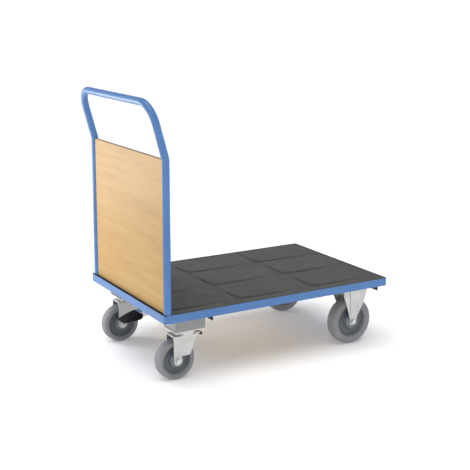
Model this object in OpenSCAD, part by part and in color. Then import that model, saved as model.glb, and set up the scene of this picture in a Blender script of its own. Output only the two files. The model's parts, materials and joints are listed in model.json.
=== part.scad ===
// Flatbed platform truck with a push bow, end panel, two fixed and two swivel castors
// and a centre foot pedal that locks both swivel castors. Millimetres, floor at z = 0.
// +X is the open end of the deck, the push bow stands at -X, +Y is the left side.

/* [Deck] */
// outside length of the deck frame
deck_length = 1050; // [900:10:1300]
// outside width of the deck frame
deck_width = 700; // [600:10:800]
// height of the deck's top face above the floor
deck_height = 287; // [280:1:320]
// height of the angle-steel edge of the deck
edge_height = 32; // [30:1:40]
// wall thickness of the angle-steel edge
edge_wall = 3; // [2:0.5:5]
// thickness of the anti-slip covering
mat_thick = 4; // [2:1:6]

/* [Push bow] */
// outside diameter of the bow tube
tube_dia = 30; // [25:1:35]
// wall thickness of the bow tube
tube_wall = 2.5; // [1.5:0.5:4]
// distance of each leg's axis from the deck's end
leg_end_inset = 21; // [20:1:30]
// distance of each leg's axis from the deck's side
leg_side_inset = 18.5; // [18.5:0.5:30]
// height above the floor where the legs start to lean outwards
bend_height = 870; // [700:5:950]
// centre-line radius of the leaning bend
bend_radius = 50; // [45:5:120]
// lean of the upper bow from the vertical
lean_angle = 15.4; // [8:0.2:25]
// straight length of each leg above the leaning bend
leg_straight = 128.5; // [60:0.5:200]
// centre-line radius of the bow's two upper corners
corner_radius = 81; // [60:1:150]

/* [Panel] */
// thickness of the wood end panel
panel_thick = 12; // [8:1:18]
// height of the panel's top edge above the floor
panel_top = 876; // [600:1:900]

/* [Castors] */
// distance of each castor's centre from the deck's end
castor_end_inset = 130; // [110:5:200]
// distance between the left and right wheel planes
castor_track = 517; // [420:1:560]
// diameter of the fixed wheels
fixed_dia = 200; // [180:1:202]
// diameter of the swivel wheels
swivel_dia = 160; // [140:1:161]
// width of all four tyres
tyre_width = 50; // [36:1:52]
// trail of the swivel wheels
swivel_trail = 45; // [38:1:50]
// radius of the axle bolts
axle_r = 6; // [5:0.5:7]

/* [Brake] */
// distance from the swivel axis to the brake shaft
finger_reach = 16; // [14:1:18]
// height of the brake shaft above the floor
shaft_height = 229; // [227:1:231]
// width of the foot tread
tread_width = 60; // [50:1:90]

/* [Hidden] */
$fn = 48;
overhang = 50;
x0 = -(deck_length + overhang) / 2 + overhang;
x1 = x0 + deck_length;
hw = deck_width / 2;
z_top = deck_height;
z_low = z_top - edge_height;
z_board = z_low + edge_wall;
z_mat = z_top - mat_thick;
tube_r = tube_dia / 2;
leg_x = x0 + leg_end_inset;
leg_y = hw - leg_side_inset;
bend_end_x = leg_x - bend_radius * (1 - cos(lean_angle));
bend_end_z = bend_height + bend_radius * sin(lean_angle);
panel_x0 = leg_x - panel_thick / 2;
panel_x1 = leg_x + panel_thick / 2;
cy = castor_track / 2;
rx = x0 + castor_end_inset;
fx = x1 - castor_end_inset;
wx = rx - swivel_trail;
sr = swivel_dia / 2;
fr = fixed_dia / 2;
half_w = tyre_width / 2;
leg_in = half_w + 4;
leg_t = 4;
plate_z = 197;
plate_t = 4;
box_z = plate_z + plate_t;
fork_z = 174;
bolt_px = 52.5;
bolt_py = 37.5;
fixed_bolt_py = 32;
swivel_seat = sr - 21;
fixed_seat = fr - 32;
rim_dish = 18;
tile_gap = 3;
tile_px = 351;
tile_py = 218;
tile_round = 40;
lug_end = sqrt(tube_r * tube_r - panel_thick * panel_thick / 4) + 0.15;
shaft_x = rx + finger_reach;
shoe_x = rx + 25;
shoe_z = 164;

// a cylinder along Y centred on y = 0
module ycyl(r, len) {
  translate([0, len / 2, 0]) rotate([90, 0, 0]) cylinder(r = r, h = len);
}

// a copy at +Y and a mirrored copy at -Y
module both_sides() {
  children();
  mirror([0, 1, 0]) children();
}

// an XZ outline extruded between two Y positions
module slab(points, ya, yb) {
  translate([0, yb, 0]) rotate([90, 0, 0]) linear_extrude(height = yb - ya) polygon(points);
}

// the four corners of a castor's bolt pattern
module at_bolts(py = bolt_py) {
  for (sx = [-1, 1], sy = [-1, 1]) translate([sx * bolt_px, sy * py, 0]) children();
}

// the bolt pattern under all four corners of the deck
module at_castor_bolts() {
  for (sy = [-1, 1]) {
    translate([rx, sy * cy, 0]) at_bolts() children();
    translate([fx, sy * cy, 0]) at_bolts(fixed_bolt_py) children();
  }
}

// positions of the screws that hold the board to the frame
module at_deck_screws() {
  for (sx = [x0 + 190, x0 + 400, x0 + 650, x1 - 240], sy = [-1, 1]) translate([sx, sy * (hw - 17),
      0]) children();
  for (sx = [x0 + 16, x1 - 16], sy = [-1, 1]) translate([sx, sy * 120, 0]) children();
}

// ---------------------------------------------------------------- deck frame

module side_rails() {
  color([0.25, 0.42, 0.72]) both_sides() difference() {
    union() {
      translate([x0, hw - edge_wall, z_low]) cube([deck_length, edge_wall, edge_height]);
      translate([x0, hw - edge_height, z_low]) cube([deck_length, edge_height, edge_wall]);
    }
    translate([leg_x, leg_y, z_low - 1]) cylinder(r = 4.3, h = edge_wall + 2);
    translate([0, 0, z_low - 1]) for (sx = [x0 + 190, x0 + 400, x0 + 650, x1 - 240]) {
      translate([sx, hw - 17, 0]) cylinder(r = 3, h = edge_wall + 2);
    }
  }
}

module end_rail() {
  difference() {
    union() {
      translate([x1 - edge_wall, -hw + edge_wall, z_low]) cube([edge_wall, deck_width - 2 *
          edge_wall, edge_height]);
      translate([x1 - edge_height, -hw + edge_height, z_low])
        cube([edge_height - 0.5, deck_width - 2 * edge_height, edge_wall]);
    }
    for (sy = [-1, 1]) translate([x1 - 16, sy * 120, z_low - 1]) cylinder(r = 3, h = edge_wall + 2);
    for (ya = [-hw, hw - edge_height]) translate([x1 - edge_wall - 1, ya, z_low - 1])
      cube([edge_wall + 2, edge_height, edge_wall + 1]);
  }
}

module end_rails() {
  color([0.25, 0.42, 0.72]) {
    end_rail();
    translate([x0 + x1, 0, 0]) mirror([1, 0, 0]) end_rail();
  }
}

module cross_plates() {
  color([0.25, 0.42, 0.72]) difference() {
    union() {
      translate([x0 + edge_height, -hw + edge_height, z_low])
        cube([castor_end_inset + 95 - edge_height, deck_width - 2 * edge_height, edge_wall]);
      translate([x1 - castor_end_inset - 85, -hw + edge_height, z_low])
        cube([castor_end_inset + 85 - edge_height, deck_width - 2 * edge_height, edge_wall]);
    }
    translate([0, 0, z_low - 1]) at_castor_bolts() cylinder(r = 4.3, h = 6);
  }
}

module stiffener_bars() {
  color([0.2, 0.34, 0.6]) {
    translate([rx + 92, -hw + 32, z_low - 28]) cube([3, deck_width - 64, 28]);
    translate([x1 - 26, -hw + 32, z_low - 28]) cube([3, deck_width - 64, 28]);
  }
}

module deck_board() {
  color([0.78, 0.64, 0.44]) difference() {
    translate([x0 + edge_wall, -hw + edge_wall, z_board])
      cube([deck_length - 2 * edge_wall, deck_width - 2 * edge_wall, z_mat - z_board]);
    for (sy = [-1, 1]) {
      translate([leg_x, sy * leg_y, z_board - 1]) cylinder(r = tube_r + 0.3, h = 40);
      translate([leg_x - tube_r - 6, sy * leg_y - (sy > 0 ? 0 : 20), z_board - 1]) cube([tube_dia +
          6.3, 20, 40]);
      translate([leg_x - tube_r - 6, sy * leg_y - tube_r - 0.3, z_board - 1]) cube([tube_r + 6,
          tube_dia + 0.6, 40]);
    }
    translate([0, 0, z_board - 1]) at_castor_bolts() cylinder(r = 11, h = 15);
    translate([0, 0, z_board - 1]) at_deck_screws() cylinder(r = 2.6, h = 18);
  }
}

// one raised field of the covering, its corner towards -X and -Y widely rounded
module mat_tile(xa, xb, ya, yb, round_r) {
  translate([xa + round_r, ya, z_top - 1]) cube([xb - xa - round_r, yb - ya, 1]);
  translate([xa, ya + round_r, z_top - 1]) cube([round_r, yb - ya - round_r, 1]);
  translate([xa + round_r, ya + round_r, z_top - 1]) cylinder(r = round_r, h = 1);
}

module deck_mat() {
  color([0.28, 0.28, 0.28]) difference() {
    union() {
      translate([x0 + edge_wall, -hw + edge_wall, z_mat])
        cube([deck_length - 2 * edge_wall, deck_width - 2 * edge_wall, mat_thick - 1]);
      for (ix = [0 : floor((deck_length - 46) / tile_px)], iy = [0 : floor((hw + 104) / tile_py)]) {
        mat_tile(x0 + 6 + ix * tile_px + tile_gap, min(x0 + 6 + (ix + 1) * tile_px, x1 - 6) - tile_gap,
          max(144 - (iy + 1) * tile_py, -hw + 6) + tile_gap, 144 - iy * tile_py - tile_gap,
          144 - (iy + 1) * tile_py > -hw + 6 ? tile_round : 1);
      }
      for (ix = [0 : floor((deck_length - 46) / tile_px)]) {
        mat_tile(x0 + 6 + ix * tile_px + tile_gap, min(x0 + 6 + (ix + 1) * tile_px, x1 - 6) - tile_gap,
          144 + tile_gap, hw - 6, tile_round);
      }
    }
    for (sy = [-1, 1]) {
      translate([leg_x, sy * leg_y, z_mat - 1]) cylinder(r = tube_r + 0.3, h = 20);
      translate([leg_x - tube_r - 0.3, sy * leg_y - (sy > 0 ? 0 : 20), z_mat - 1]) cube([tube_dia +
          0.6, 20, 20]);
    }
  }
}

module deck_screws() {
  color([0.75, 0.77, 0.8]) translate([0, 0, z_low - 2.5]) at_deck_screws() {
    cylinder(r = 5.5, h = 2.5);
    cylinder(r = 2.5, h = 20);
  }
}

// ------------------------------------------------------------------ push bow

module pipe(len) {
  difference() {
    cylinder(r = tube_r, h = len);
    translate([0, 0, -1]) cylinder(r = tube_r - tube_wall, h = len + 2);
  }
}

module pipe_bend(radius, turn) {
  rotate_extrude(angle = turn) translate([radius, 0]) difference() {
    circle(r = tube_r);
    circle(r = tube_r - tube_wall);
  }
}

// lower legs, their leaning bends and the straight runs above them
module bow_legs() {
  color([0.25, 0.42, 0.72]) both_sides() {
    translate([leg_x, leg_y, z_board]) pipe(bend_height - z_board);
    translate([leg_x - bend_radius, leg_y, bend_height]) rotate([90, 0, 0])
      pipe_bend(bend_radius, lean_angle);
    translate([bend_end_x, leg_y, bend_end_z]) rotate([0, -lean_angle, 0]) pipe(leg_straight);
  }
}

// upper corners and the push bar between them
module bow_top() {
  color([0.25, 0.42, 0.72]) translate([bend_end_x, 0, bend_end_z]) rotate([0, -lean_angle, 0]) {
    both_sides() translate([0, leg_y - corner_radius, leg_straight]) rotate([90, 0, 90])
      pipe_bend(corner_radius, 90);
    translate([0, leg_y - corner_radius, leg_straight + corner_radius]) rotate([90, 0, 0])
      pipe(2 * (leg_y - corner_radius));
  }
}

module bow_plugs() {
  color([0.5, 0.5, 0.52]) both_sides() translate([leg_x, leg_y, z_board]) difference() {
    cylinder(r = tube_r - tube_wall - 0.1, h = 35);
    translate([0, 0, -1]) cylinder(r = 4.1, h = 32);
  }
}

module bow_screws() {
  color([0.75, 0.77, 0.8]) both_sides() translate([leg_x, leg_y, z_low]) {
    translate([0, 0, -7]) cylinder(r = 7.5, h = 5.5, $fn = 6);
    translate([0, 0, -1.5]) cylinder(r = 8.5, h = 1.5);
    translate([0, 0, -2]) cylinder(r = 4, h = 30);
  }
}

// ----------------------------------------------------------------- end panel

module end_panel() {
  color([0.85, 0.68, 0.46]) difference() {
    translate([panel_x0, -leg_y + tube_r + 0.4, z_top + 1])
      cube([panel_thick, 2 * (leg_y - tube_r) - 0.8, panel_top - z_top - 3]);
    for (pz = [z_top + 90, panel_top - 90], sy = [-1, 1]) {
      translate([panel_x1 + 1, sy * (leg_y - 31), pz]) rotate([0, -90, 0]) cylinder(r = 2.2, h = 10.4);
    }
  }
}

module panel_edge_band() {
  color([0.35, 0.26, 0.2]) translate([panel_x0, -leg_y + tube_r + 0.4, panel_top - 2])
    cube([panel_thick, 2 * (leg_y - tube_r) - 0.8, 2]);
}

module panel_lugs() {
  color([0.25, 0.42, 0.72]) for (pz = [z_top + 90, panel_top - 90]) both_sides() difference() {
    translate([panel_x1, leg_y - 45, pz - 17]) cube([3, 45 - lug_end, 34]);
    translate([panel_x1 - 1, leg_y - 31, pz]) rotate([0, 90, 0]) cylinder(r = 2.6, h = 5);
  }
}

module panel_screws() {
  color([0.75, 0.77, 0.8]) for (pz = [z_top + 90, panel_top - 90]) both_sides() {
    translate([panel_x1 + 3, leg_y - 31, pz]) rotate([0, 90, 0]) cylinder(r = 5, h = 2.6);
    translate([panel_x1 + 4, leg_y - 31, pz]) rotate([0, -90, 0]) cylinder(r = 2.1, h = 13);
  }
}

// ------------------------------------------------- raised castor housings

// folded housing, bottom edges rounded, centred on the swivel axis
module soft_box(lx, ly, za, zb, r) {
  translate([-lx / 2, -ly / 2, za + r]) cube([lx, ly, zb - za - r]);
  translate([-lx / 2 + r, -ly / 2, za]) cube([lx - 2 * r, ly, 2 * r]);
  translate([-lx / 2 + r, 0, za + r]) ycyl(r, ly);
  translate([lx / 2 - r, 0, za + r]) ycyl(r, ly);
}

module housing() {
  color([0.74, 0.76, 0.78]) difference() {
    translate([rx, cy, 0]) soft_box(130, 102, box_z, z_low, 7);
    translate([rx, cy, 0]) soft_box(125, 97, box_z + 2.5, z_low - 2.5, 4.5);
    translate([rx - 40, cy - 29, z_low - 5]) cube([80, 58, 10]);
    translate([rx, cy, box_z - 1]) cylinder(r = 18, h = 6);
    translate([rx, cy, box_z - 1]) at_bolts() cylinder(r = 4.2, h = 80);
    translate([shaft_x, cy - 50, shaft_height]) ycyl(10.08, 8);
  }
}

module housing_left() {
  housing();
}

module housing_right() {
  mirror([0, 1, 0]) housing();
}

// ------------------------------------------------------- swivel castor parts

module swivel_plate() {
  color([0.76, 0.78, 0.8]) translate([rx, cy, 0]) difference() {
    union() {
      translate([-65, -51, plate_z]) cube([130, 102, plate_t]);
      translate([0, 0, plate_z - 3]) cylinder(r = 43.5, h = 4);
      translate([0, 0, plate_z - 10]) cylinder(r = 43.5, h = 8);
    }
    translate([0, 0, plate_z - 11]) cylinder(r = 41, h = 8);
    translate([0, 0, plate_z - 8]) cylinder(r = 10.05, h = 20);
    translate([0, 0, plate_z - 1]) at_bolts() cylinder(r = 4.2, h = 6);
  }
}

module kingpin() {
  color([0.62, 0.63, 0.66]) translate([rx, cy, 0]) difference() {
    union() {
      translate([0, 0, 166]) cylinder(r = 10, h = 36);
      translate([0, 0, box_z]) cylinder(r = 15, h = 6);
    }
    translate([0, 0, 160]) cylinder(r = 4.08, h = 60);
  }
}

module swivel_plate_left() {
  swivel_plate();
}

module swivel_plate_right() {
  mirror([0, 1, 0]) swivel_plate();
}

module kingpin_left() {
  kingpin();
}

module kingpin_right() {
  mirror([0, 1, 0]) kingpin();
}

module kingpin_nuts() {
  color([0.7, 0.71, 0.74]) both_sides() translate([rx, cy, 0]) difference() {
    translate([0, 0, 165.5]) cylinder(r = 14.5, h = 8, $fn = 6);
    translate([0, 0, 160]) cylinder(r = 10.05, h = 20);
  }
}

module castor_bolt(za, zb) {
  translate([0, 0, za - 5.5]) cylinder(r = 7.4, h = 5.5, $fn = 6);
  translate([0, 0, za - 1]) cylinder(r = 4, h = zb - za + 1);
}

module swivel_castor_bolts() {
  color([0.78, 0.79, 0.82]) both_sides() translate([rx, cy, 0]) at_bolts() castor_bolt(plate_z,
      z_board + 11);
}

module fixed_castor_bolts() {
  color([0.78, 0.79, 0.82]) both_sides() translate([fx, cy, 0]) at_bolts(fixed_bolt_py)
      castor_bolt(z_low - 4, z_board + 11);
}

module castor_nuts() {
  color([0.78, 0.79, 0.82]) translate([0, 0, z_board]) at_castor_bolts() difference() {
    union() {
      cylinder(r = 8.5, h = 1.6);
      translate([0, 0, 1]) cylinder(r = 7.4, h = 7, $fn = 6);
    }
    translate([0, 0, -1]) cylinder(r = 4.05, h = 20);
  }
}

module swivel_fork() {
  color([0.74, 0.76, 0.78]) difference() {
    union() {
      both_walls() slab([[rx - 63, fork_z + 4], [rx + 34, fork_z + 4], [rx + 37, fork_z - 5], [rx +
          7, sr + 18],
        [rx - 28, sr + 16], [rx - 34, sr - 2], [wx - 16.5, sr - 6], [wx - 18, sr + 12]], leg_in,
            leg_in + leg_t);
      both_walls() translate([wx, leg_in + leg_t / 2, sr]) ycyl(18, leg_t);
      translate([rx, cy, fork_z]) cylinder(r = 37, h = 5);
      translate([rx, cy, fork_z + 4]) cylinder(r = 38.5, h = 8.5);
      translate([rx - 63, cy - leg_in - leg_t, fork_z]) cube([63, 2 * (leg_in + leg_t), 4]);
      translate([rx, cy - 24, fork_z]) cube([62, 48, 4]);
      translate([rx + 59, cy - 24, fork_z - 7]) cube([3, 48, 9]);
    }
    translate([rx, cy, fork_z - 1]) cylinder(r = 10.6, h = 30);
    translate([rx, cy, fork_z + 8]) cylinder(r = 29, h = 30);
    translate([rx, cy, fork_z + 14.8 - 1.2]) race_cut();
    translate([wx, cy, sr]) ycyl(axle_r + 0.05, 90);
    translate([shoe_x, cy, shoe_z]) ycyl(3.05, 90);
  }
}

// shallow ring groove under the balls
module race_cut() {
  rotate_extrude() translate([34, 2.6]) circle(r = 3.6);
}

// both legs of a castor, offset from the wheel's plane
module both_walls() {
  translate([0, cy, 0]) children();
  translate([0, cy, 0]) mirror([0, 1, 0]) children();
}

module swivel_balls() {
  color([0.85, 0.85, 0.87]) translate([rx, cy, 0]) for (a = [0:24:359]) {
    rotate([0, 0, a]) translate([34, 0, 190.3]) sphere(r = 3.4);
  }
}

module axle_bolt(px, pz) {
  translate([px, cy, pz]) {
    ycyl(axle_r, 2 * (leg_in + leg_t) + 6);
    translate([0, leg_in + leg_t + 3.7, 0]) rotate([90, 0, 0]) cylinder(r = 10.4, h = 7, $fn = 6,
        center = true);
    translate([0, -leg_in - leg_t - 3.7, 0]) rotate([90, 0, 0]) cylinder(r = 10.4, h = 7, $fn = 6,
        center = true);
  }
}

module shoe_pin() {
  translate([shoe_x, cy, shoe_z]) ycyl(3, 2 * (leg_in + leg_t) + 3);
}

module axle_sleeves(px, pz) {
  both_walls() translate([px, (leg_in + half_w + 2.3) / 2 - 0.05, pz]) difference() {
    ycyl(10.5, leg_in - half_w - 2.6);
    ycyl(axle_r + 0.05, 10);
  }
}

module swivel_fork_left() {
  swivel_fork();
}

module swivel_fork_right() {
  mirror([0, 1, 0]) swivel_fork();
}

module swivel_balls_left() {
  swivel_balls();
}

module swivel_balls_right() {
  mirror([0, 1, 0]) swivel_balls();
}

module swivel_axle_left() {
  color([0.7, 0.72, 0.75]) {
    axle_bolt(wx, sr);
    shoe_pin();
  }
}

module swivel_axle_right() {
  mirror([0, 1, 0]) swivel_axle_left();
}

module swivel_sleeves_left() {
  color([0.55, 0.56, 0.58]) axle_sleeves(wx, sr);
}

module swivel_sleeves_right() {
  mirror([0, 1, 0]) swivel_sleeves_left();
}

// -------------------------------------------------------- fixed castor parts

// part of a fixed fork's leg: an XZ outline cut from sheet with a YZ section
module fork_sheet(outline, section) {
  intersection() {
    slab(outline, 20, 62);
    translate([fx, 0, 0]) rotate([90, 0, 90]) linear_extrude(height = 140, center = true) polygon(section);
  }
}

module fixed_fork() {
  zt = z_low - 2;
  color([0.74, 0.76, 0.78]) difference() {
    union() {
      translate([fx - 70, cy - 55, z_low - 4]) cube([140, 110, 4]);
      both_walls() fork_sheet([[fx - 62, zt], [fx + 62, zt], [fx + 57, fr + 112], [fx + 47, fr + 76],
        [fx + 24, fr + 28], [fx + 14, fr], [fx - 14, fr], [fx - 20, fr + 26], [fx - 42, fr + 84],
        [fx - 54, fr + 112]], [[leg_in, fr - 20], [leg_in + leg_t, fr - 20], [leg_in + leg_t, fr + 20],
        [leg_in + 18, zt], [leg_in + 14, zt], [leg_in, fr + 20]]);
      both_walls() fork_sheet([[fx - 30, zt], [fx + 30, zt], [fx + 12, fr + 24], [fx - 12, fr + 24]],
        [[leg_in + 1.5, fr + 21], [leg_in + leg_t + 0.4, fr + 21], [leg_in + 21.5, zt], [leg_in + 16, zt]]);
      both_walls() translate([fx, leg_in + leg_t / 2, fr]) ycyl(14, leg_t);
    }
    translate([fx, cy, z_low - 6]) at_bolts(fixed_bolt_py) cylinder(r = 4.2, h = 10);
    translate([fx, cy, fr]) ycyl(axle_r + 0.05, 90);
  }
}

module fixed_fork_left() {
  fixed_fork();
}

module fixed_fork_right() {
  mirror([0, 1, 0]) fixed_fork();
}

module fixed_axles() {
  color([0.7, 0.72, 0.75]) both_sides() axle_bolt(fx, fr);
}

module fixed_sleeves() {
  color([0.55, 0.56, 0.58]) both_sides() axle_sleeves(fx, fr);
}

// -------------------------------------------------------------------- wheels

module tyre_ring(px, r, seat) {
  color([0.5, 0.5, 0.53]) translate([px, cy, r]) rotate([90, 0, 0]) rotate_extrude() polygon([
    [seat, -half_w + 3], [seat + 4, -half_w + 0.6], [r - 16, -half_w], [r - 9, -half_w + 1.2],
    [r - 4, -half_w + 4.5], [r - 1.2, -half_w + 9.5], [r, -half_w + 16], [r, half_w - 16], [r -
        1.2, half_w - 9.5],
    [r - 4, half_w - 4.5], [r - 9, half_w - 1.2], [r - 16, half_w], [seat + 4, half_w - 0.6],
        [seat, half_w - 3]]);
}

module rim_ring(px, r, seat, hub_r) {
  color([0.45, 0.47, 0.5]) translate([px, cy, r]) rotate([90, 0, 0]) rotate_extrude() polygon([
    [17.1, -half_w - 1], [hub_r - 2, -half_w - 1], [hub_r, -half_w + 1], [hub_r + 1, -half_w + rim_dish],
    [seat - 6, -half_w + rim_dish], [seat - 1.5, -half_w + 2.4], [seat - 0.1, -half_w + 2.4],
    [seat - 0.1, half_w - 2.4], [seat - 1.5, half_w - 2.4], [seat - 6, half_w - rim_dish],
    [hub_r + 1, half_w - rim_dish], [hub_r, half_w - 1], [hub_r - 2, half_w + 1], [17.1, half_w + 1]]);
}

module wheel_bearings(px, r) {
  color([0.7, 0.71, 0.74]) both_walls() translate([px, half_w - 6, r]) difference() {
    ycyl(17, 16);
    ycyl(axle_r + 0.08, 20);
    translate([0, 8, 0]) difference() {
      ycyl(14.5, 3);
      ycyl(9.5, 4);
    }
  }
}

module swivel_tyre_left() {
  tyre_ring(wx, sr, swivel_seat);
}

module swivel_rim_left() {
  rim_ring(wx, sr, swivel_seat, 28);
}

module swivel_bearings_left() {
  wheel_bearings(wx, sr);
}

module swivel_tyre_right() {
  mirror([0, 1, 0]) tyre_ring(wx, sr, swivel_seat);
}

module swivel_rim_right() {
  mirror([0, 1, 0]) rim_ring(wx, sr, swivel_seat, 28);
}

module swivel_bearings_right() {
  mirror([0, 1, 0]) wheel_bearings(wx, sr);
}

module fixed_tyre_left() {
  tyre_ring(fx, fr, fixed_seat);
}

module fixed_rim_left() {
  rim_ring(fx, fr, fixed_seat, 31.5);
}

module fixed_bearings_left() {
  wheel_bearings(fx, fr);
}

module fixed_tyre_right() {
  mirror([0, 1, 0]) tyre_ring(fx, fr, fixed_seat);
}

module fixed_rim_right() {
  mirror([0, 1, 0]) rim_ring(fx, fr, fixed_seat, 31.5);
}

module fixed_bearings_right() {
  mirror([0, 1, 0]) wheel_bearings(fx, fr);
}

// --------------------------------------------------------------- foot brake

module brake_shaft() {
  color([0.66, 0.67, 0.7]) translate([shaft_x, 0, shaft_height]) rotate([90, 0, 0])
    cylinder(r = 6.9, h = 2 * cy + 36, $fn = 6, center = true);
}

module hex_hole(len) {
  rotate([90, 0, 0]) cylinder(r = 7, h = len, $fn = 6, center = true);
}

module brake_fingers() {
  color([0.62, 0.63, 0.66]) both_sides() translate([0, cy, 0]) difference() {
    union() {
      translate([shaft_x, 0, shaft_height]) ycyl(11, 12);
      slab([[rx + 1, 218.8], [shaft_x - 2, 218.5], [shaft_x - 4, 238], [rx + 1, 227.8]], -6, 6);
      translate([rx, 0, 223.3]) ycyl(5, 12);
    }
    translate([shaft_x, 0, shaft_height]) hex_hole(20);
  }
}

module shaft_bushes() {
  color([0.2, 0.2, 0.21]) both_sides() for (py = [cy - 49.75, 32.5]) translate([shaft_x, py,
      shaft_height]) {
    difference() {
      ycyl(10, py > 100 ? 6 : 5);
      hex_hole(20);
    }
  }
}

module shaft_bracket() {
  color([0.76, 0.78, 0.8]) difference() {
    union() {
      both_sides() slab([[shaft_x - 34, z_low], [shaft_x + 26, z_low], [shaft_x + 15, shaft_height - 10],
        [shaft_x - 15, shaft_height - 10]], 31, 34);
      translate([shaft_x, 0, shaft_height]) ycyl(15, 68);
      translate([shaft_x - 34, -34, z_low - 3]) cube([60, 68, 3]);
    }
    translate([shaft_x, 0, shaft_height]) ycyl(10.08, 90);
    translate([shaft_x - 60, -31, shaft_height - 30]) cube([120, 62, z_low - shaft_height + 27]);
  }
}

arm_shape = [[rx - 92, 184], [rx - 92, 198], [rx - 75, 205], [rx + 4, 243], [rx + 25, 243], [rx +
    30, 229],
  [rx + 16, 213], [rx - 2, 213], [rx - 38, 190], [rx - 67, 183]];

module pedal_arm() {
  color([0.74, 0.76, 0.78]) difference() {
    union() {
      difference() {
        slab(arm_shape, -22, 22);
        slab([[rx - 99, 170], [rx - 99, 192], [rx - 74, 201.6], [rx + 5, 239.6], [rx + 40, 239.6],
            [rx + 40, 170]],
          -19, 19);
      }
      translate([shaft_x, 0, shaft_height]) ycyl(12, 52);
    }
    translate([shaft_x, 0, shaft_height]) hex_hole(80);
  }
}

module pedal_tread() {
  color([0.09, 0.09, 0.1]) difference() {
    union() {
      slab([[rx - 154, 172.5], [rx - 154, 177], [rx - 126, 190], [rx - 97, 199.5], [rx - 82, 203.6],
        [rx - 70, 200], [rx - 70, 184], [rx - 82, 178.6], [rx - 92, 176.6], [rx - 140, 175.5]],
        -tread_width / 2, tread_width / 2);
      translate([rx - 82, 0, 191]) ycyl(12.6, tread_width);
    }
    slab([[rx - 92.3, 170], [rx - 92.3, 198.3], [rx - 75.2, 205.4], [rx - 60, 213], [rx - 60,
        170]], -22.3, 22.3);
    for (ix = [0:4]) translate([rx - 148 + ix * 8, -24, 180.2 + ix * 3.1]) rotate([0, -24, 0])
        cube([2.4, 48, 4]);
  }
}

module plunger() {
  color([0.8, 0.81, 0.83]) translate([rx, cy, 0]) {
    translate([0, 0, 161.3]) cylinder(r1 = 1, r2 = 4, h = 2.4);
    translate([0, 0, 163.7]) cylinder(r = 4, h = 49.6);
    translate([0, 0, 212]) cylinder(r = 8, h = 6);
  }
}

module plunger_left() {
  plunger();
}

module plunger_right() {
  mirror([0, 1, 0]) plunger();
}

module brake_shoe() {
  color([0.6, 0.61, 0.64]) translate([0, cy, 0]) difference() {
    union() {
      translate([rx - 8, -14, 158]) cube([31, 28, 3]);
      slab([[rx + 14, 158], [rx + 25, 158.5], [rx + 22, 169], [rx + 19, 167]], -14, 14);
      translate([shoe_x, 0, shoe_z]) ycyl(5.5, 28);
    }
    translate([shoe_x, 0, shoe_z]) ycyl(3.08, 40);
  }
}

module brake_shoe_left() {
  brake_shoe();
}

module brake_shoe_right() {
  mirror([0, 1, 0]) brake_shoe();
}

side_rails();
end_rails();
cross_plates();
stiffener_bars();
deck_board();
deck_mat();
bow_legs();
bow_top();
bow_plugs();
bow_screws();
end_panel();
panel_edge_band();
panel_lugs();
panel_screws();
deck_screws();
housing_left();
housing_right();
swivel_plate_left();
swivel_plate_right();
kingpin_left();
kingpin_right();
kingpin_nuts();
swivel_castor_bolts();
fixed_castor_bolts();
castor_nuts();
swivel_fork_left();
swivel_fork_right();
swivel_balls_left();
swivel_balls_right();
swivel_axle_left();
swivel_axle_right();
swivel_sleeves_left();
swivel_sleeves_right();
fixed_fork_left();
fixed_fork_right();
fixed_axles();
fixed_sleeves();
swivel_tyre_left();
swivel_rim_left();
swivel_bearings_left();
swivel_tyre_right();
swivel_rim_right();
swivel_bearings_right();
fixed_tyre_left();
fixed_rim_left();
fixed_bearings_left();
fixed_tyre_right();
fixed_rim_right();
fixed_bearings_right();
brake_shaft();
brake_fingers();
shaft_bushes();
shaft_bracket();
pedal_arm();
pedal_tread();
plunger_left();
plunger_right();
brake_shoe_left();
brake_shoe_right();
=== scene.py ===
# Flatbed platform truck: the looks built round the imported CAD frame. Metres, floor at z = 0,
# X along the deck with the push bow at -X, the photo's near side at -Y.
import json
import math

import bmesh
import bpy
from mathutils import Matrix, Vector


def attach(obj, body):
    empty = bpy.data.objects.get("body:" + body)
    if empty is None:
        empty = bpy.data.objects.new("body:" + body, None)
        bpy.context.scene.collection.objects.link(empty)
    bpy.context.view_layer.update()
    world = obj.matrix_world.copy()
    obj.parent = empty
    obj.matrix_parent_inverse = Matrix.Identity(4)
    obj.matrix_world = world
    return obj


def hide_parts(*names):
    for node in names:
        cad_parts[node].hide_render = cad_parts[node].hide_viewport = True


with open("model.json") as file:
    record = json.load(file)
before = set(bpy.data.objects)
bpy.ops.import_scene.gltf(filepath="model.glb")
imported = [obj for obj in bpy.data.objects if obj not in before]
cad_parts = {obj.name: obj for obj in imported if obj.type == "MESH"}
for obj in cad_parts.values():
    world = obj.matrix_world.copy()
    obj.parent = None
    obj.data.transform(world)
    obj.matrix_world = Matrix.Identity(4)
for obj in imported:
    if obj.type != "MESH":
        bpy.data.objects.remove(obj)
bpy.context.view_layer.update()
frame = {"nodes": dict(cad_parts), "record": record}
nodes = frame["nodes"]
scene = bpy.context.scene
TAU = math.tau

# Deck frame, castors and push bow, as in part.scad.
X0, X1, HW = -0.500, 0.550, 0.350        # deck ends and half width
Z_TOP, Z_LOW = 0.287, 0.255              # top and bottom of the edge rails
CASTOR_Y = 0.2585                        # castor centre line, from the middle
SWIVEL_X, SWIVEL_R = -0.415, 0.080       # axle place and radius
FIXED_X, FIXED_R = 0.420, 0.100
SWIVEL_SEAT, FIXED_SEAT = 0.059, 0.068   # where tyre meets rim
SWIVEL_HUB, FIXED_HUB = 0.0280, 0.0315
HALF_TYRE = 0.025
LEG_X, LEG_Y, LEG_FOOT = -0.479, 0.3315, 0.258
BEND_Z, BEND_R, LEAN = 0.870, 0.050, math.radians(15.4)
LEG_STRAIGHT, BOW_CORNER, TUBE_R = 0.1285, 0.081, 0.015

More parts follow.
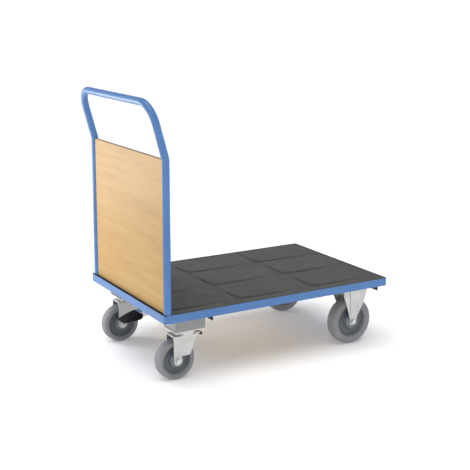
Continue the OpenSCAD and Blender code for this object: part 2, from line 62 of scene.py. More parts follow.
# The covering's tile pattern.
TILE_X, TILE_Y = 0.351, 0.218
TILE_X0, TILE_Y0 = -0.494, 0.144         # a corner of the pattern
TILE_CORNER, GROOVE = 0.060, 0.0085      # rounded corner and groove half width


# ---------------------------------------------------------------- materials
class Mat:
    """A node material built step by step; colour, roughness and bump come from noise in object space, and some
    colours also from the mesh's pointiness or a mesh attribute, which paint shade in hollows and grooves.
    """

    def __init__(self, name):
        self.m = bpy.data.materials.new(name)
        self.m.use_nodes = True
        self.t = self.m.node_tree
        self.t.nodes.clear()
        self.out = self.t.nodes.new("ShaderNodeOutputMaterial")
        self.b = self.t.nodes.new("ShaderNodeBsdfPrincipled")
        self.t.links.new(self.b.outputs[0], self.out.inputs[0])
        self.coord = self.t.nodes.new("ShaderNodeTexCoord").outputs["Object"]
        self.bump_in = None

    def node(self, kind, **values):
        n = self.t.nodes.new("ShaderNode" + kind)
        for k, v in values.items():
            if k in n.inputs:
                n.inputs[k].default_value = v
            else:
                setattr(n, k, v)
        return n

    def link(self, a, b):
        self.t.links.new(a, b)

    def scaled(self, scale, rot=(0, 0, 0)):
        n = self.node("Mapping")
        n.inputs["Scale"].default_value = scale
        n.inputs["Rotation"].default_value = rot
        self.link(self.coord, n.inputs["Vector"])
        return n.outputs[0]

    def noise(self, scale, detail=4.0, rough=0.55, vec=None, distortion=0.0):
        n = self.node("TexNoise", Scale=scale, Detail=detail, Roughness=rough, Distortion=distortion)
        self.link(vec or self.coord, n.inputs["Vector"])
        return n.outputs["Fac"]

    def voronoi(self, scale, vec=None):
        n = self.node("TexVoronoi", Scale=scale)
        self.link(vec or self.coord, n.inputs["Vector"])
        return n.outputs["Distance"]

    def ramp(self, fac, stops):
        n = self.node("ValToRGB")
        els = n.color_ramp.elements
        while len(els) < len(stops):
            els.new(0.5)
        for e, (pos, col) in zip(els, stops):
            e.position = pos
            e.color = (*col, 1)
        self.link(fac, n.inputs[0])
        return n.outputs[0]

    def fit(self, value, a, b, lo=0.0, hi=1.0):
        n = self.node("MapRange")
        for i, v in zip(("From Min", "From Max", "To Min", "To Max"), (a, b, lo, hi)):
            n.inputs[i].default_value = v
        self.link(value, n.inputs["Value"])
        return n.outputs[0]

    def mix(self, fac, a, b):
        n = self.node("Mix", data_type="RGBA")
        for sock, v in ((n.inputs[0], fac), (n.inputs[6], a), (n.inputs[7], b)):
            if isinstance(v, (int, float)):
                sock.default_value = v
            elif isinstance(v, tuple):
                sock.default_value = (*v, 1)
            else:
                self.link(v, sock)
        return n.outputs[2]

    def bump(self, height, strength, dist):
        n = self.node("Bump", Strength=strength, Distance=dist)
        self.link(height, n.inputs["Height"])
        if self.bump_in:
            self.link(self.bump_in, n.inputs["Normal"])
        self.bump_in = n.outputs[0]
        self.link(self.bump_in, self.b.inputs["Normal"])

    def edge(self, most):
        """Wear on convex edges, from 0 up to most."""
        return self.fit(self.node("NewGeometry").outputs["Pointiness"], 0.53, 0.60, 0.0, most)

    def set(self, **values):
        for k, v in values.items():
            sock = self.b.inputs[k.replace("_", " ")]
            if isinstance(v, (int, float, tuple)):
                sock.default_value = (*v, 1) if isinstance(v, tuple) and len(v) == 3 else v
            else:
                self.link(v, sock)


def blue_coat():
    m = Mat("blue_powder_coat")
    cloud = m.noise(7, 3)
    base = m.ramp(cloud, [(0.3, (0.074, 0.190, 0.450)), (0.7, (0.090, 0.222, 0.500))])
    speck = m.fit(m.noise(900, 2), 0.66, 0.72)
    base = m.mix(speck, base, (0.13, 0.26, 0.52))
    base = m.mix(m.edge(0.35), base, (0.20, 0.34, 0.58))
    m.set(Base_Color=base, Roughness=m.fit(m.noise(60, 5), 0.3, 0.7, 0.30, 0.44))
    m.set(Coat_Weight=0.10, Coat_Roughness=0.25, Specular_IOR_Level=0.36)
    m.bump(m.noise(420, 2), 0.10, 0.0006)
    return m.m


def zinc_sheet():
    m = Mat("zinc_plated_sheet")
    spangle = m.voronoi(70)
    base = m.ramp(m.noise(14, 6, 0.6), [
        (0.25, (0.50, 0.505, 0.49)), (0.55, (0.62, 0.62, 0.605)), (0.8, (0.69, 0.69, 0.68))])
    base = m.mix(m.fit(spangle, 0.1, 0.8, 0.0, 0.16), base, (0.50, 0.51, 0.52))
    base = m.mix(m.fit(m.noise(5, 3), 0.5, 0.8, 0.0, 0.25), base, (0.66, 0.64, 0.56))
    rough = m.fit(m.noise(38, 6, 0.65), 0.3, 0.7, 0.30, 0.50)
    streak = m.noise(30, 4, 0.6, m.scaled((1, 1, 14)))
    m.set(Base_Color=base, Metallic=0.82, Roughness=rough)
    m.bump(streak, 0.05, 0.0005)
    m.bump(m.noise(500, 3), 0.05, 0.0003)
    return m.m


def housing_zinc():
    m = Mat("galvanised_housing_steel")
    spangle = m.voronoi(95)
    base = m.ramp(m.noise(16, 6, 0.62), [
        (0.25, (0.25, 0.255, 0.25)), (0.6, (0.33, 0.335, 0.33)), (0.85, (0.40, 0.40, 0.39))])
    base = m.mix(m.fit(spangle, 0.1, 0.7, 0.0, 0.22), base, (0.26, 0.265, 0.27))
    m.set(Base_Color=base, Metallic=0.70, Roughness=m.fit(m.noise(45, 6, 0.65), 0.3, 0.7, 0.34, 0.52))
    m.bump(m.noise(34, 4, 0.6, m.scaled((1, 1, 10))), 0.05, 0.0005)
    m.bump(m.noise(500, 3), 0.05, 0.0003)
    return m.m


def zinc_fastener():
    m = Mat("bright_zinc_fasteners")
    base = m.ramp(m.noise(90, 4), [(0.3, (0.60, 0.61, 0.62)), (0.7, (0.78, 0.78, 0.78))])
    base = m.mix(m.fit(m.noise(260, 3), 0.55, 0.75, 0.0, 0.5), base, (0.46, 0.45, 0.42))
    m.set(Base_Color=base, Metallic=0.95, Roughness=m.fit(m.noise(200, 3), 0.3, 0.7, 0.22, 0.40))
    m.bump(m.noise(800, 3), 0.08, 0.0003)
    return m.m


def beech():
    m = Mat("beech_decor")
    band = m.noise(2.6, 5, 0.55, m.scaled((1, 0.85, 13), (0.02, 0, 0)), 0.6)
    base = m.ramp(band, [
        (0.25, (0.455, 0.262, 0.082)), (0.5, (0.51, 0.308, 0.102)), (0.75, (0.55, 0.342, 0.120))])
    flame = m.node("TexWave", wave_type="BANDS", bands_direction="Z", Scale=7.0, Distortion=5.0, Detail=2.5)
    flame.inputs["Detail Scale"].default_value = 0.9
    m.link(m.scaled((1, 0.32, 1)), flame.inputs["Vector"])
    base = m.mix(m.fit(flame.outputs["Fac"], 0.78, 1.0, 0.0, 0.16), base, (0.41, 0.228, 0.072))
    broad = m.noise(1.6, 2, 0.5, m.scaled((1, 1, 2.5)))
    base = m.mix(m.fit(broad, 0.45, 0.7, 0.0, 0.30), base, (0.57, 0.365, 0.128))
    streak = m.noise(26, 5, 0.65, m.scaled((1, 0.35, 12), (0.03, 0, 0)))
    base = m.mix(m.fit(streak, 0.50, 0.72, 0.0, 0.26), base, (0.375, 0.210, 0.068))
    fleck = m.noise(90, 3, 0.7, m.scaled((1, 1.6, 18)))
    base = m.mix(m.fit(fleck, 0.62, 0.72, 0.0, 0.28), base, (0.31, 0.168, 0.056))
    fibre = m.noise(170, 3, 0.6, m.scaled((1, 0.5, 9)))
    base = m.mix(m.fit(fibre, 0.4, 0.7, 0.0, 0.10), base, (0.39, 0.222, 0.080))
    m.set(Base_Color=base, Roughness=m.fit(fibre, 0.3, 0.7, 0.42, 0.56), Specular_IOR_Level=0.35)
    m.bump(fibre, 0.05, 0.0004)
    m.bump(fleck, 0.06, 0.0003)
    return m.m


def mat_cover():
    m = Mat("anti_slip_covering")
    base = m.ramp(m.noise(9, 5), [(0.3, (0.058, 0.058, 0.057)), (0.7, (0.078, 0.078, 0.077))])
    grit = m.voronoi(420)
    base = m.mix(m.fit(grit, 0.1, 0.6, 0.0, 0.4), base, (0.098, 0.098, 0.096))
    base = m.mix(m.fit(m.noise(3, 4), 0.55, 0.8, 0.0, 0.3), base, (0.095, 0.093, 0.089))
    # "recess" is written on the mesh: painted shade in the grooves, and the black bead round the covering, which
    # is partly a real black edge and partly painted shade.
    shade = m.node("Attribute", attribute_name="recess").outputs["Fac"]
    base = m.mix(shade, base, (0.012, 0.012, 0.012))
    rough = m.fit(m.noise(30, 5), 0.3, 0.7, 0.66, 0.84)
    m.set(Base_Color=base, Roughness=rough, Specular_IOR_Level=0.22)
    m.bump(grit, 0.35, 0.0007)
    m.bump(m.noise(140, 4), 0.12, 0.0008)
    return m.m


def tyre_rubber():
    m = Mat("grey_elastic_tyre")
    base = m.ramp(m.noise(18, 5), [(0.3, (0.222, 0.222, 0.238)), (0.7, (0.270, 0.270, 0.286))])
    base = m.mix(m.fit(m.noise(70, 6, 0.7), 0.55, 0.8, 0.0, 0.4), base, (0.19, 0.19, 0.20))
    m.set(Base_Color=base, Roughness=m.fit(m.noise(50, 5), 0.3, 0.7, 0.50, 0.68))
    m.bump(m.noise(650, 3), 0.14, 0.0004)
    m.bump(m.noise(60, 4), 0.06, 0.0010)
    return m.m


def stiffener_painted_shade_steel():
    # Painted shade: near-black steel for the stiffener bars, whose ends sit in shadow under the frame.
    m = Mat("dark_primed_steel")
    base = m.ramp(m.noise(30, 5), [(0.3, (0.030, 0.030, 0.026)), (0.7, (0.050, 0.048, 0.042))])
    base = m.mix(m.edge(0.6), base, (0.13, 0.125, 0.11))
    m.set(Base_Color=base, Metallic=0.3, Roughness=m.fit(m.noise(80, 4), 0.3, 0.7, 0.42, 0.62))
    m.bump(m.noise(400, 3), 0.12, 0.0004)
    return m.m


def rim_plastic():
    m = Mat("grey_rim_plastic")
    base = m.ramp(m.noise(22, 4), [(0.3, (0.165, 0.184, 0.204)), (0.7, (0.205, 0.225, 0.245))])
    # Painted shade: the rim turns near black in concave hollows and corners, where shade falls.
    concave_painted_shade = m.fit(m.node("NewGeometry").outputs["Pointiness"], 0.485, 0.44, 0.0, 0.75)
    base = m.mix(concave_painted_shade, base, (0.045, 0.050, 0.056))
    m.set(Base_Color=base, Roughness=m.fit(m.noise(80, 4), 0.3, 0.7, 0.36, 0.52))
    m.bump(m.noise(700, 2), 0.10, 0.0003)
    return m.m


def black_plastic(name):
    m = Mat(name)
    base = m.ramp(m.noise(40, 4), [(0.3, (0.004, 0.004, 0.005)), (0.7, (0.010, 0.010, 0.011))])
    base = m.mix(m.edge(0.5), base, (0.04, 0.04, 0.04))
    rough = m.fit(m.noise(120, 4), 0.3, 0.7, 0.46, 0.66)
    m.set(Base_Color=base, Roughness=rough, Specular_IOR_Level=0.12)
    m.bump(m.voronoi(600), 0.16, 0.0004)
    return m.m


def board_core():
    m = Mat("board_core")
    chips = m.voronoi(160, vec=m.scaled((0.6, 1, 3)))
    base = m.ramp(chips, [(0.0, (0.42, 0.27, 0.14)), (0.5, (0.60, 0.43, 0.25)), (1.0, (0.72, 0.55, 0.34))])
    base = m.mix(m.fit(m.noise(6, 4), 0.4, 0.7, 0.0, 0.4), base, (0.50, 0.35, 0.20))
    m.set(Base_Color=base, Roughness=m.fit(m.noise(90, 4), 0.3, 0.7, 0.62, 0.82))
    m.bump(chips, 0.2, 0.0006)
    return m.m


def edge_band():
    m = Mat("dark_edge_band")
    grain = m.noise(40, 4, 0.6, m.scaled((1, 0.5, 6)))
    base = m.ramp(grain, [(0.3, (0.20, 0.115, 0.055)), (0.7, (0.30, 0.19, 0.10))])
    m.set(Base_Color=base, Roughness=m.fit(m.noise(120, 3), 0.3, 0.7, 0.45, 0.62))
    m.bump(m.noise(300, 3), 0.1, 0.0003)
    return m.m


M = {
    "blue_powder_coat": blue_coat(),
    "board_core": board_core(),
    "dark_primed_steel": stiffener_painted_shade_steel(),
    "anti_slip_covering": mat_cover(),
    "beech_decor_board": beech(),
    "dark_edge_band": edge_band(),
    "grey_elastic_tyre": tyre_rubber(),
    "grey_rim_plastic": rim_plastic(),
    "black_pedal_plastic": black_plastic("black_pedal_plastic"),
    "bush_plastic": black_plastic("bush_plastic"),
    "zinc_plated_sheet": zinc_sheet(),
    "bright_zinc_fasteners": zinc_fastener(),
}
housing_steel = housing_zinc()
slot_of = {s["node"]: s["material_slot"] for s in frame["record"]["subparts"]}
body_of = {n: b for b, ns in frame["record"]["behaviour"]["bodies"].items() for n in ns}
for name, o in nodes.items():
    o.data.materials.clear()
    o.data.materials.append(M[slot_of[name]])


# -------------------------------------------------------------- mesh helpers
def finish_mesh(o, angle, weighted):
    """Smooth shading with sharp edges by angle, weighted normals, modifiers baked into the mesh."""
    for p in o.data.polygons:
        p.use_smooth = True
    o.data.set_sharp_from_angle(angle=math.radians(angle))
    if weighted:
        w = o.modifiers.new("normals", "WEIGHTED_NORMAL")
        w.keep_sharp = True
        w.weight = 60
    dg = bpy.context.evaluated_depsgraph_get()
    me = bpy.data.meshes.new_from_object(o.evaluated_get(dg), preserve_all_data_layers=True, depsgraph=dg)
    me.name = o.name
    o.modifiers.clear()
    o.data = me


def add_piece(name, mesh, body, slot, replaced, mat=None):
    """An object in a body and a material slot; replaced is the CAD nodes that it stands for."""
    o = bpy.data.objects.new(name, mesh)
    scene.collection.objects.link(o)
    mesh.materials.clear()
    mesh.materials.append(mat or M[slot])
    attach(o, body)
    if replaced:
        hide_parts(*replaced)
    return o


def from_bm(bm, name, body, slot, replaced, angle, mat=None, bevel=0.0, segs=2, weighted=True):
    """A finished piece from a bmesh, with its edges over angle degrees bevelled where bevel is given."""
    bmesh.ops.recalc_face_normals(bm, faces=bm.faces)
    me = bpy.data.meshes.new(name)
    bm.to_mesh(me)
    bm.free()
    o = add_piece(name, me, body, slot, replaced, mat)
    if bevel:
        bv = o.modifiers.new("edge", "BEVEL")
        bv.width, bv.segments, bv.limit_method, bv.angle_limit = bevel, segs, "ANGLE", math.radians(angle)
        bv.use_clamp_overlap = True
        bv.profile = 0.6
    finish_mesh(o, angle, weighted)


def soften(node, width, segs=2, mat=None, folds=None):
    """The CAD node's own shape with its sheet or machined edges rounded as the real part's are.

    folds is (test, radius): edges that pass the test are sheet bends and get the larger radius first."""
    me = nodes[node].data.copy()
    bm = bmesh.new()
    bm.from_mesh(me)
    bmesh.ops.remove_doubles(bm, verts=bm.verts, dist=3e-6)
    bmesh.ops.dissolve_limit(bm, angle_limit=math.radians(0.8), verts=bm.verts, edges=bm.edges)
    if folds:
        test, radius = folds
        bends = [e for e in bm.edges if all(test(v.co) for v in e.verts) and e.calc_length() > 0.004]
        bmesh.ops.bevel(bm, geom=bends, offset=radius, offset_type="OFFSET", segments=5, profile=0.5,
                        affect="EDGES", clamp_overlap=True)
    from_bm(bm, node + "_finish", body_of[node], slot_of[node], (node,), 30, mat, width, segs)


def ring_strip(bm, rings, close=False):
    """Quads between successive closed rings of points; close joins the last ring to the first."""
    vs = [[bm.verts.new(p) for p in r] for r in rings]
    n = len(vs[0])
    rows = len(vs)
    for i in range(rows if close else rows - 1):
        a, b = vs[i], vs[(i + 1) % rows]
        for j in range(n):
            bm.faces.new((a[j], a[(j + 1) % n], b[(j + 1) % n], b[j]))
    return vs


def circle(k, n):
    """Cosine and sine of the k-th of n equal steps round a turn."""
    return math.cos(TAU * k / n), math.sin(TAU * k / n)


def sweep(bm, path, radii, sides):
    """Capped round tube along a polyline, with parallel-transported rings and one radius per point."""
    pts = [Vector(p) for p in path]
    tang = []
    for i in range(len(pts)):
        a, b = pts[max(i - 1, 0)], pts[min(i + 1, len(pts) - 1)]
        tang.append((b - a).normalized())
    up = Vector((1, 0, 0)) if abs(tang[0].x) < 0.9 else Vector((0, 1, 0))
    n = (up - tang[0] * up.dot(tang[0])).normalized()
    turn = [circle(k, sides) for k in range(sides)]
    rings = []
    for p, t, r in zip(pts, tang, radii):
        n = (n - t * n.dot(t)).normalized()
        b = t.cross(n)
        rings.append([p + (n * c + b * si) * r for c, si in turn])
    vs = ring_strip(bm, rings)
    bm.faces.new(list(reversed(vs[0])))
    bm.faces.new(vs[-1])


def arc(c, u, v, r, sweep_angle, n):
    """n points on an arc from u towards v (unit vectors) about c, the start left out."""
    turns = [sweep_angle * (i + 1) / n for i in range(n)]
    return [c + u * (r * math.cos(a)) + v * (r * math.sin(a)) for a in turns]


def rounded(points, radii, n):
    """A closed 2-D outline with each corner rounded to its own radius."""
    out = []
    for i, (p, r) in enumerate(zip(points, radii)):
        p = Vector(p)
        a = Vector(points[i - 1]) - p
        b = Vector(points[(i + 1) % len(points)]) - p
        la, lb = a.length, b.length
        a.normalize()
        b.normalize()
        ang = a.angle(b, math.pi)
        if r <= 0 or ang > math.pi - 0.02:
            out.append(p)
            continue
        d = min(r / math.tan(ang / 2), la * 0.49, lb * 0.49)
        q0, q1 = p + a * d, p + b * d
        for k in range(n + 1):
            t = k / n
            out.append(q0 * (1 - t) ** 2 + p * (2 * t * (1 - t)) + q1 * t ** 2)
    return out


def lathe(bm, profile, centre, n):
    """Turn a closed (radius, y) outline about the Y axis through centre."""
    c = Vector(centre)
    turn = [circle(k, n) for k in range(n)]
    ring_strip(bm, [[c + Vector((r * ca, y, r * sa)) for r, y in profile] for ca, sa in turn], close=True)


def mirrored(half):
    """A (radius, y) outline completed with its mirror image in y."""
    return half + [(a, -b) for a, b in reversed(half)]


# ------------------------------------------------------------- frame and deck
def frame_rails():
    """One welded angle frame with mitred, ground corners."""
    wall, leg, corner = 0.003, 0.032, 0.009
    outline = [(0, Z_LOW), (leg, Z_LOW), (leg, Z_LOW + wall), (wall, Z_LOW + wall), (wall, Z_TOP), (0, Z_TOP)]
    bm = bmesh.new()
    rings = []
    for u, z in rounded(outline, [0.0022, 0.0014, 0.0010, 0, 0.0010, 0.0013], 4):
        r = max(corner - u, 0.0004)
        lo_x, hi_x, hi_y = X0 + u + r, X1 - u - r, HW - u - r
        ring = []
        for cx, cy, a0 in ((hi_x, hi_y, 0), (lo_x, hi_y, 90), (lo_x, -hi_y, 180), (hi_x, -hi_y, 270)):
            for k in range(9):
                a = math.radians(a0 + 90 * k / 8)
                ring.append(Vector((cx + r * math.cos(a), cy + r * math.sin(a), z)))
        rings.append(ring)
    ring_strip(bm, rings, close=True)
    from_bm(bm, "deck_frame_welded", "truck", "blue_powder_coat", ("side_rails", "end_rails"), 40)


def smooth(a, b, x):
    t = min(max((x - a) / (b - a), 0.0), 1.0)
    return t * t * (3 - 2 * t)


def mat_groove(x, y):
    """How deep the shadow groove is at a point, 0 to 1, and how far the domed field rises there."""
    col = (x - TILE_X0) / TILE_X
    row = (y - TILE_Y0) / TILE_Y
    along, up = col - math.floor(col), row - math.floor(row)
    tx, ty = along * TILE_X, up * TILE_Y
    r = TILE_CORNER
    corner = tx < r and ty < r
    inside = r - math.hypot(r - tx, r - ty) if corner else min(tx, ty)
    row_fade = 0.15 + 0.85 * (1 - smooth(0.30, 0.90, along))
    col_fade = 0.25 + 0.75 * (1 - smooth(0.25, 0.85, up))
    fade = 1.0 if corner else (row_fade if ty < tx else col_fade)
    g = math.exp(-(max(inside, 0) / GROOVE) ** 2) * fade
    if inside < 0:
        g = max(0.0, 1.0 + inside / 0.030) * 0.8
    far = GROOVE * 1.1
    g = max(g, math.exp(-((TILE_Y - ty) / far) ** 2) * row_fade, math.exp(-((TILE_X - tx) / far) ** 2) * col_fade)
    dome = math.sin(math.pi * along) * math.sin(math.pi * up)
    return g, 0.0006 * dome + 0.0008 * (1 - along) * (1 - up)


def shifted(c, lo, hi, inset):
    """A coordinate on the covering's edge, moved in by inset; a negative inset moves it out."""
    near = 1e-6
    if inset > 0:
        return max(lo + inset, min(hi - inset, c))
    if c < lo + near:
        return c + inset
    if c > hi - near:
        return c - inset
    return c


def deck_covering():
    """The tiled covering in the frame, with painted shade in its grooves and a black bead that is wide on three
    sides and thin at -Y; the bead is partly a real black edge and partly painted shade.
    """
    margin, nx, ny = 0.0014, 300, 200
    wide_end, wide, thin = 0.0135, 0.0075, 0.0024
    # groove_painted_shade darkens the grooves as painted shade; black is the bead, partly a real black edge and
    # partly painted shade.
    groove_deep, groove_painted_shade, black = 0.0021, 0.62, 0.95
    x_a, x_b, y_b = X0 + margin, X1 - margin, HW - margin
    bm = bmesh.new()
    shade = {}
    grid = []
    for i in range(nx + 1):
        x = x_a + (x_b - x_a) * i / nx
        col = []
        for j in range(ny + 1):
            y = -y_b + 2 * y_b * j / ny
            border = min(x - x_a, x_b - x, y + y_b, y_b - y)
            three = min((x - x_a) / wide_end, (x_b - x) / wide, (y_b - y) / wide)
            bead = min(three, (y + y_b) / thin)
            edge_up = 0.0010 if three < 1.2 and y > 0.006 - y_b else -0.0002
            g, lift = mat_groove(x, y)
            inner = smooth(0.003, 0.012, border)
            z = Z_TOP + 0.0002 + (lift - groove_deep * g) * inner + edge_up * (1 - smooth(0.80, 1.15, bead))
            v = bm.verts.new((x, y, z))
            # Painted shade in the grooves, and the black bead (partly painted shade) at the border.
            shade[v] = max((1 - smooth(0.90, 1.15, bead)) * black, groove_painted_shade * g * inner)
            col.append(v)
        grid.append(col)
    for i in range(nx):
        for j in range(ny):
            bm.faces.new((grid[i][j], grid[i + 1][j], grid[i + 1][j + 1], grid[i][j + 1]))
    edge = [grid[i][0] for i in range(nx)] + [grid[nx][j] for j in range(ny)]
    edge += [grid[i][ny] for i in range(nx, 0, -1)] + [grid[0][j] for j in range(ny, 0, -1)]
    n = len(edge)
    above = edge
    for inset, drop in ((-0.0003, -0.0001), (0.0, 0.0005), (0.0018, 0.0006), (0.0018, 0.0038)):
        ring = []
        for v in edge:
            w = bm.verts.new((shifted(v.co.x, x_a, x_b, inset), shifted(v.co.y, -y_b, y_b, inset), Z_TOP - drop))
            shade[w] = black
            ring.append(w)
        for i in range(n):
            bm.faces.new((above[i], ring[i], ring[(i + 1) % n], above[(i + 1) % n]))
        above = ring
    bm.faces.new(above)
    bm.verts.index_update()
    vals = [0.0] * len(bm.verts)
    for v, value in shade.items():
        vals[v.index] = value
    bmesh.ops.recalc_face_normals(bm, faces=bm.faces)
    me = bpy.data.meshes.new("deck_covering")
    bm.to_mesh(me)
    bm.free()
    me.attributes.new("recess", "FLOAT", "POINT").data.foreach_set("value", vals)
    finish_mesh(add_piece("deck_covering", me, "truck", "anti_slip_covering", ("deck_mat",)), 40, False)


# ------------------------------------------------------------------- push bow
def push_bow():
    """The bow as one bent tube: two upright legs that lean back, and the rounded top between them."""
    up = Vector((-math.sin(LEAN), 0, math.cos(LEAN)))
    sides = []
    for s in (-1, 1):
        y = s * LEG_Y
        side = [Vector((LEG_X, y, LEG_FOOT + (BEND_Z - LEG_FOOT) * k / 8)) for k in range(9)]
        side += arc(Vector((LEG_X - BEND_R, y, BEND_Z)), Vector((1, 0, 0)), Vector((0, 0, 1)), BEND_R, LEAN, 8)
        start = side[-1].copy()
        side += [start + up * LEG_STRAIGHT * k / 4 for k in range(1, 5)]
        centre = start + up * LEG_STRAIGHT + Vector((0, -s * BOW_CORNER, 0))
        side += arc(centre, Vector((0, s, 0)), up, BOW_CORNER, math.pi / 2, 22)
        sides.append(side)
    right, left = sides
    bar = [right[-1].lerp(left[-1], k / 8) for k in range(1, 8)]
    pts = right + bar + list(reversed(left))
    bm = bmesh.new()
    sweep(bm, pts, [TUBE_R] * len(pts), 40)
    from_bm(bm, "push_bow_tube", "truck", "blue_powder_coat", ("bow_legs", "bow_top"), 50)


# --------------------------------------------------------------------- wheels
def tyre(kind, side, cx, cy, r, seat):
    """Solid elastic tyre: bead lip at the rim, flat wall, shoulder flat, crowned tread."""
    h = HALF_TYRE
    lip = ((0, 0.0030), (0.0006, 0.0016), (0.0018, 0.0004), (0.0034, 0.0002),
           (0.0044, 0.0016), (0.0060, 0.0016), (0.0070, 0.0002))
    shoulder = ((0.0118, 0.0), (0.0092, 0.0004), (0.0070, 0.0013), (0.0050, 0.0028), (0.0034, 0.0048),
                (0.0022, 0.0074), (0.0013, 0.0106), (0.0007, 0.0144), (0.0002, 0.0190), (0.0, 0.0240))
    half = [(seat + a, b - h) for a, b in lip] + [(r - a, b - h) for a, b in shoulder] + [(r, -0.0005)]
    bm = bmesh.new()
    lathe(bm, mirrored(half), (cx, cy, r), 128)
    from_bm(bm, f"tyre_{kind}_{side}", f"{kind}_wheel_{side}", "grey_elastic_tyre", (f"{kind}_tyre_{side}",),
            60, weighted=False)


def rim(kind, side, cx, cy, r, seat, hub):
    """Moulded wheel centre: bearing boss, deep dished web, steep flange under the tyre."""
    h, bore, deep = HALF_TYRE, 0.0171, 0.0185
    boss = ((-0.0052, -0.0010), (-0.0044, -0.0002), (-0.0030, -0.0002), (-0.0016, -0.0004), (-0.0004, 0.0006),
            (0.0, 0.0020), (0.0006, deep - 0.003), (0.0014, deep - 0.0010), (0.0034, deep))
    flange = ((0.0085, deep - 0.0016), (0.0062, deep - 0.0030), (0.0052, deep - 0.0060), (0.0026, 0.0046),
              (0.0018, 0.0030), (0.0010, 0.0024), (0.0002, 0.0026))
    half = [(bore, -h - 0.0010)] + [(hub + a, b - h) for a, b in boss] + [(seat - a, b - h) for a, b in flange]
    bm = bmesh.new()
    lathe(bm, mirrored(half), (cx, cy, r), 112)
    from_bm(bm, f"rim_{kind}_{side}", f"{kind}_wheel_{side}", "grey_rim_plastic", (f"{kind}_rim_{side}",),
            42, weighted=False)


def press_lines(side, cy):
    """Rolled edges of the pressing on both legs of a fixed fork, in the darker housing steel as painted shade
    along the creases.
    """
    top, low = (0.0298, 0.0468, 0.2500), (0.0122, 0.0336, 0.1245)
    bm = bmesh.new()
    for wall in (-1, 1):
        for edge in (-1, 1):
            a, b = (Vector((FIXED_X + edge * x, cy + wall * y, z)) for x, y, z in (top, low))
            sweep(bm, [a, (a + b) / 2, b], [0.0014, 0.0013, 0.0008], 12)
    # The darker housing steel paints shade along the pressing's creases.
    from_bm(bm, "fixed_fork_press_shade_lines_" + side, "truck", "zinc_plated_sheet", (), 40, mat=housing_steel)


def rear_black_block(side, cy):
    """A black block with rounded edges over the rear lip of a swivel fork."""
    centre, size = Vector((-0.3087, cy, 0.1718)), Vector((0.0085, 0.0500, 0.0120))
    bm = bmesh.new()
    bmesh.ops.create_cube(bm, size=1.0)
    for v in bm.verts:
        v.co = centre + v.co * size
    bmesh.ops.bevel(bm, geom=list(bm.edges), offset=0.0022, offset_type="OFFSET", segments=3, profile=0.5,
                    affect="EDGES")
    from_bm(bm, "fork_rear_black_block_" + side, "swivel_body_" + side, "black_pedal_plastic", (), 40)


def fork_bend(cy):
    """A test for the two long bends between a swivel fork's top and its legs."""
    bend_y, bend_z, near = 0.033, 0.178, 1e-4
    return lambda c: abs(abs(c.y - cy) - bend_y) < near and abs(c.z - bend_z) < near


frame_rails()
deck_covering()
push_bow()
for s, side in ((1, "left"), (-1, "right")):
    cy = s * CASTOR_Y
    tyre("swivel", side, SWIVEL_X, cy, SWIVEL_R, SWIVEL_SEAT)
    tyre("fixed", side, FIXED_X, cy, FIXED_R, FIXED_SEAT)
    rim("swivel", side, SWIVEL_X, cy, SWIVEL_R, SWIVEL_SEAT, SWIVEL_HUB)
    rim("fixed", side, FIXED_X, cy, FIXED_R, FIXED_SEAT, FIXED_HUB)
    soften("swivel_fork_" + side, 0.0011, folds=(fork_bend(cy), 0.0058))
    rear_black_block(side, cy)
    press_lines(side, cy)
    soften("fixed_fork_" + side, 0.0012)
    soften("housing_" + side, 0.0012, mat=housing_steel)
    soften("swivel_plate_" + side, 0.0009)
    soften("swivel_axle_" + side, 0.0006)
    soften("brake_shoe_" + side, 0.0006)
soften("end_panel", 0.0009)
soften("panel_edge_band", 0.0005)
soften("pedal_tread", 0.0012, 3)
# The pedal arm is zinc plated; it takes the brighter fastener zinc so it shows lit, partly a painted highlight.
soften("pedal_arm", 0.0009, mat=M["bright_zinc_fasteners"])
for name, width in (
        ("fixed_axles", 0.0006), ("cross_plates", 0.0005), ("stiffener_bars", 0.0007), ("panel_lugs", 0.0008),
        ("panel_screws", 0.0005), ("deck_screws", 0.0005), ("bow_screws", 0.0005),
        ("swivel_castor_bolts", 0.0006), ("fixed_castor_bolts", 0.0006), ("shaft_bracket", 0.0008),
        ("brake_fingers", 0.0008), ("shaft_bushes", 0.0008), ("brake_shaft", 0.0008)):
    soften(name, width)


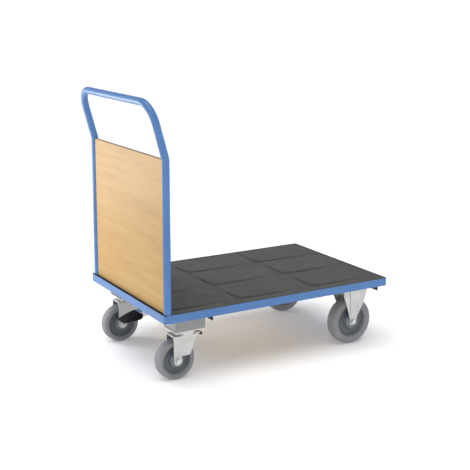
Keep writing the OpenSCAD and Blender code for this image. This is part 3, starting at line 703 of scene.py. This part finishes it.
# ------------------------------------------------------------------- staging
def studio_floor():
    """A pale floor that curves up far away, so that no view sees its end; it glows a little, as a light table."""
    flat, curve, sides = 14.0, 24.0, 96
    mat = Mat("studio_floor")
    mat.set(Base_Color=(0.92, 0.92, 0.92), Roughness=0.7, Emission_Color=(1.0, 1.0, 1.0), Emission_Strength=0.12)
    rise = [math.radians(4 * k) for k in range(1, 16)]
    prof = [(0.001, 0.0), (4.0, 0.0), (flat, 0.0)]
    prof += [(flat + curve * math.sin(a), curve - curve * math.cos(a)) for a in rise]
    turn = [circle(k, sides) for k in range(sides)]
    bm = bmesh.new()
    ring_strip(bm, [[(r * c, r * si, z) for c, si in turn] for r, z in prof])
    me = bpy.data.meshes.new("studio_floor")
    bm.to_mesh(me)
    bm.free()
    me.polygons.foreach_set("use_smooth", [True] * len(me.polygons))
    me.materials.append(mat.m)
    floor = bpy.data.objects.new("studio_floor", me)
    scene.collection.objects.link(floor)
    floor.visible_shadow = False


studio_floor()
world = bpy.data.worlds.new("studio")
world.use_nodes = True
world.node_tree.nodes["Background"].inputs[0].default_value = (1.0, 1.0, 1.0, 1)
world.node_tree.nodes["Background"].inputs[1].default_value = 0.25
scene.world = world


def area(name, pos, target, size, power):
    d = bpy.data.lights.new(name, "AREA")
    d.shape = "RECTANGLE"
    d.size, d.size_y = size
    d.energy = power
    o = bpy.data.objects.new(name, d)
    o.location = pos
    o.rotation_euler = (Vector(target) - Vector(pos)).to_track_quat("-Z", "Y").to_euler()
    o.visible_camera = False
    scene.collection.objects.link(o)


def sun(name, towards, strength, angle):
    d = bpy.data.lights.new(name, "SUN")
    d.energy = strength
    d.angle = math.radians(angle)
    o = bpy.data.objects.new(name, d)
    o.rotation_euler = Vector(towards).to_track_quat("-Z", "Y").to_euler()
    scene.collection.objects.link(o)


sun("top_soft", (0.12, 0.16, -1.0), 2.28, 58)
sun("key_left", (1.0, 0.22, -0.40), 0.12, 28)
area("key_near", (-1.12, 0.98, 0.72), (-0.48, 0.20, 0.50), (0.5, 0.7), 7.5)

# -------------------------------------------------------------------- camera
cam_data = bpy.data.cameras.new("camera")
cam_data.sensor_width = 36.0
cam_data.lens = 78.5183
cam_data.shift_y = -0.12
cam_data.clip_end = 400.0
cam = bpy.data.objects.new("camera", cam_data)
yaw, pitch = 0.52903, 0.18075
fwd = Vector((math.sin(yaw) * math.cos(pitch), math.cos(yaw) * math.cos(pitch), -math.sin(pitch)))
cam.location = (-2.1235, -3.6471, 1.4816)
cam.rotation_euler = fwd.to_track_quat("-Z", "Y").to_euler()
scene.collection.objects.link(cam)
scene.camera = cam
scene.view_settings.view_transform = "Standard"

bpy.context.view_layer.update()
